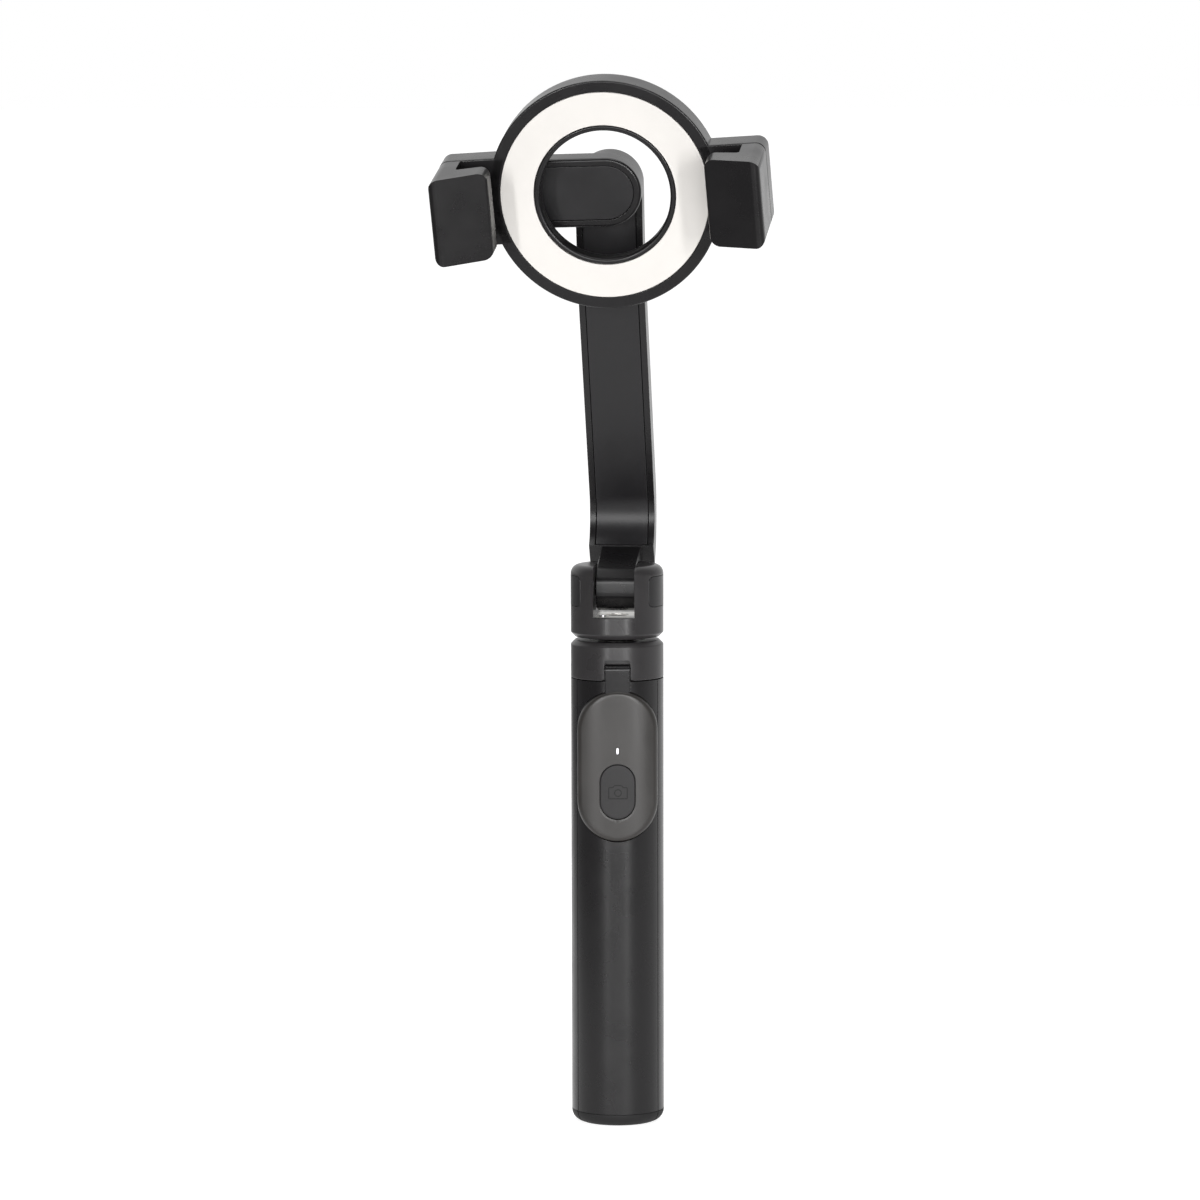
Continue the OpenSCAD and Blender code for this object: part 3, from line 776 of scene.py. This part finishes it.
def dome(w, h, z, r, back_y, edge, step=5.0, bands=14):
    """A stadium pad with a front of radius r, a rim rounded by edge and a flat back."""
    bm = bmesh.new()
    rings = []
    half = w / 2 - 0.02
    depths = [edge * (1 - cos(pi / 2 * i / 5)) for i in range(6)]
    depths += [edge + (half - edge) * ((i + 1) / bands) for i in range(bands)]
    for d in depths:
        drop = edge - sqrt(max(0.0, edge**2 - (edge - min(d, edge)) ** 2))
        points = stadium(w - 2 * d, h - 2 * d, step)
        rings.append([bm.verts.new((x, front_y(x, r) + drop, q + z)) for x, q in points])
    skirt = [bm.verts.new((v.co.x, max(back_y, v.co.y), v.co.z)) for v in rings[0]]
    n = len(skirt)
    for a, b in zip([skirt, *rings], rings):
        for i in range(n):
            j = (i + 1) % n
            bm.faces.new((a[i], a[j], b[j], b[i]))
    bm.faces.new(skirt[::-1])
    bm.faces.new(rings[-1])
    bmesh.ops.remove_doubles(bm, verts=bm.verts, dist=0.0005)
    return made(bm)


pad = dome(REMOTE_W, REMOTE_H, REMOTE_Z, REMOTE_R, CASE_BACK, CASE_ROUND)
well_plan = moved(stadium(BUTTON_W + WELL_GAP, BUTTON_H + WELL_GAP, 6), 0, BUTTON_Z)
well = prism(well_plan, -20, WELL_Y, order=FLAT)
port_plan = moved(stadium(LAMP_W + 0.13, LAMP_H + 0.15, 20), 0, LAMP_Z)
port = prism(port_plan, -20, LAMP_BACK, order=FLAT)
combined(pad, [well, port])
softened(pad, 0.1, 2, 50)
case_nodes = ["remote_top", "remote_base"]
placed(pad, "remote_case", "remote", STICK, REMOTE, case_nodes)
key = dome(BUTTON_W, BUTTON_H, BUTTON_Z, BUTTON_R, KEY_BACK, 0.35, 6, 8)
placed(key, "shutter_key", "shutter", STICK, BUTTON, ["shutter_button"])


def line_mark(outline, raised=0.02, sunk=0.1):
    """A closed line on the front of the button."""
    outline = clean(outline)
    pts = []
    for (x0, y0), (x1, y1) in edges(outline):
        n = max(1, ceil(hypot(x1 - x0, y1 - y0) / 0.4))
        pts += [(x0 + (x1 - x0) * i / n, y0 + (y1 - y0) * i / n) for i in range(n)]
    inner = inset(pts, MARK_W)
    bm = bmesh.new()
    loops = []
    for line, depth in ((pts, -raised), (inner, -raised), (inner, sunk), (pts, sunk)):
        loops.append(
            [bm.verts.new((x, front_y(x, BUTTON_R) + depth, q + BUTTON_Z)) for x, q in line]
        )
    for a, b in edges(loops):
        for i in range(len(pts)):
            j = (i + 1) % len(pts)
            bm.faces.new((a[i], a[j], b[j], b[i]))
    return made(bm)


camera_line = filleted(
    [
        (-2.8, -2.1, 0.4), (3.0, -2.1, 0.4), (3.0, 1.5, 0.4), (1.75, 1.5, 0.3),
        (1.15, 2.15, 0.35), (-0.95, 2.15, 0.35), (-1.55, 1.5, 0.3), (-2.8, 1.5, 0.4),
    ],
    20,
)
lens_line = arc(0.1, -0.25, 1.15, 0, 350, 10)
mark = joined(line_mark(camera_line), line_mark(lens_line))
placed(mark, "shutter_mark", "shutter", STICK, MARK)
lens = dome(LAMP_W, LAMP_H, LAMP_Z, REMOTE_R - 0.02, LAMP_BACK, 0.12, 20, 3)
placed(lens, "remote_lens", "remote", STICK, LAMP, ["remote_led"])

# ---------- CAD nodes shown as they are, with their edges broken ----------
carried = {
    BODY: ["leg_pins", "pole_cap"],
    STEEL: [
        "swivel_bolt", "plate_screw", "hinge_pin", "swivel_rivet", "swivel_washer", "tilt_pin",
        "ring_screws", "remote_screws", "ring_shunt", "jaw_left_slide", "jaw_right_slide",
        "remote_switch", "remote_cell",
    ],
    POLISHED: ["slot_plate"],
    TUBE: ["outer_tube", "pole_1", "pole_2", "pole_3", "pole_4"],
    NYLON: ["collar_bush", "bush_1", "bush_2", "bush_3", "bush_4"],
    RUBBER: ["tube_plug", "jaw_left_liner", "jaw_right_liner", "jaw_left_brake", "jaw_right_brake"],
    MAGNET: ["ring_magnets", "dock_magnet"],
    COVER: ["arm_cap", "ring_back"],
    BRASS: ["barrel_sleeve"],
    BOARD: ["remote_board"],
}
for finish, names in carried.items():
    for n in names:
        nodes[n].data.materials.clear()
        nodes[n].data.materials.append(finish)
        weld = nodes[n].modifiers.new("weld", "WELD")
        weld.merge_threshold = 0.002 * MM
        edge = nodes[n].modifiers.new("edge", "BEVEL")
        edge.width = 0.12 * MM
        edge.segments = 2
        edge.limit_method = "ANGLE"
        edge.angle_limit = radians(SHARP)
        edge.use_clamp_overlap = True
        edge.harden_normals = True

# ---------- floor, light and camera ----------
# The floor glows with a painted soft white light round the stick and behind it, and is painted
# darker in front, so that the dark plastics don't mirror it. Its tone and glow go by place on the
# floor, in metres.
NEAR_Y = (-0.6, -0.28)  # dark before the first, pale after the second
NEAR_X = (-0.45, -0.2)
NEAR_SLANT = 0.12
bpy.ops.mesh.primitive_plane_add(size=80, location=(0, 0, 0))
floor = bpy.context.object
floor.name = "floor"
pale = finish_of("glowing_floor", (0.97, 0.97, 0.97), 0.7, mottle=0.003)  # recoloured below
tree = pale.node_tree
shader = tree.nodes["Principled BSDF"]
where = tree.nodes.new("ShaderNodeTexCoord")
split = tree.nodes.new("ShaderNodeSeparateXYZ")
tree.links.new(where.outputs["Object"], split.inputs["Vector"])
slant = tree.nodes.new("ShaderNodeMath")
slant.operation = "MULTIPLY_ADD"
slant.inputs[1].default_value = NEAR_SLANT
tree.links.new(split.outputs["Y"], slant.inputs[0])
tree.links.new(split.outputs["X"], slant.inputs[2])
least = tree.nodes.new("ShaderNodeMath")
least.operation = "MINIMUM"
for i, (source, (low, high)) in enumerate(
    ((split.outputs["Y"], NEAR_Y), (slant.outputs["Value"], NEAR_X))
):
    reach = tree.nodes.new("ShaderNodeMapRange")
    reach.inputs["From Min"].default_value = low
    reach.inputs["From Max"].default_value = high
    tree.links.new(source, reach.inputs["Value"])
    tree.links.new(reach.outputs["Result"], least.inputs[i])
for socket, dark, light in (("Base Color", 0.1, 0.4), ("Emission Color", 0.12, 0.84)):
    ramp = tree.nodes.new("ShaderNodeValToRGB")
    ramp.color_ramp.elements[0].color = (dark, dark, dark, 1)
    ramp.color_ramp.elements[1].color = (light, light, light, 1)
    tree.links.new(least.outputs["Value"], ramp.inputs["Fac"])
    tree.links.new(ramp.outputs["Color"], shader.inputs[socket])
shader.inputs["Emission Strength"].default_value = 1.0
floor.data.materials.append(pale)

# The sky is white behind the stick and dark in front of it, by direction.
world = bpy.data.worlds.new("studio")
bpy.context.scene.world = world
world.use_nodes = True
tree = world.node_tree
sky = tree.nodes["Background"]
sky.inputs["Strength"].default_value = 1.0
toward = tree.nodes.new("ShaderNodeTexCoord")
split = tree.nodes.new("ShaderNodeSeparateXYZ")
span = tree.nodes.new("ShaderNodeMapRange")
span.inputs["From Min"].default_value = -1.0
span.inputs["From Max"].default_value = 1.0
fade = tree.nodes.new("ShaderNodeValToRGB")
stops = fade.color_ramp.elements
stops[0].position, stops[0].color = 0.0, (0.12, 0.12, 0.12, 1)
stops[1].position, stops[1].color = 0.75, (1, 1, 1, 1)
stops.new(0.52).color = (0.14, 0.14, 0.14, 1)
tree.links.new(toward.outputs["Generated"], split.inputs["Vector"])
tree.links.new(split.outputs["Y"], span.inputs["Value"])
tree.links.new(span.outputs["Result"], fade.inputs["Fac"])
tree.links.new(fade.outputs["Color"], sky.inputs["Color"])


def lamp(name, at, aim, size, power):
    """A soft rectangle of light, in metres and watts."""
    data = bpy.data.lights.new(name, "AREA")
    data.shape = "RECTANGLE"
    data.size, data.size_y = size
    data.energy = power
    o = bpy.data.objects.new(name, data)
    bpy.context.scene.collection.objects.link(o)
    o.location = at
    o.rotation_euler = (Vector(aim) - Vector(at)).to_track_quat("-Z", "Y").to_euler()


lamp("left", (-0.68, -1.42, 0.33), (0, 0, 0.16), (0.1, 0.62), 11)
lamp("right", (0.62, -1.45, 0.33), (0, 0, 0.16), (0.1, 0.62), 13)
lamp("front", (0, -1.9, 0.4), (0, 0, 0.2), (1.0, 0.7), 20)
lamp("top", (0, -0.1, 1.9), (0, 0, 0.2), (1.4, 1.4), 22)
EYE = Vector((-0.00509, -1.6, 0.3144))
TARGET = Vector((-0.00509, 0, 0.15667))
CAMERA_ROLL = -0.13
cam_data = bpy.data.cameras.new("camera")
cam_data.lens = 161.97
cam_data.sensor_width = 36
cam_data.clip_end = 50
camera = bpy.data.objects.new("camera", cam_data)
bpy.context.scene.collection.objects.link(camera)
look = (TARGET - EYE).to_track_quat("-Z", "Y").to_matrix().to_4x4()
roll = Matrix.Rotation(radians(CAMERA_ROLL), 4, "Z")
camera.matrix_world = Matrix.Translation(EYE) @ look @ roll
bpy.context.scene.camera = camera
bpy.context.scene.view_settings.view_transform = "Standard"
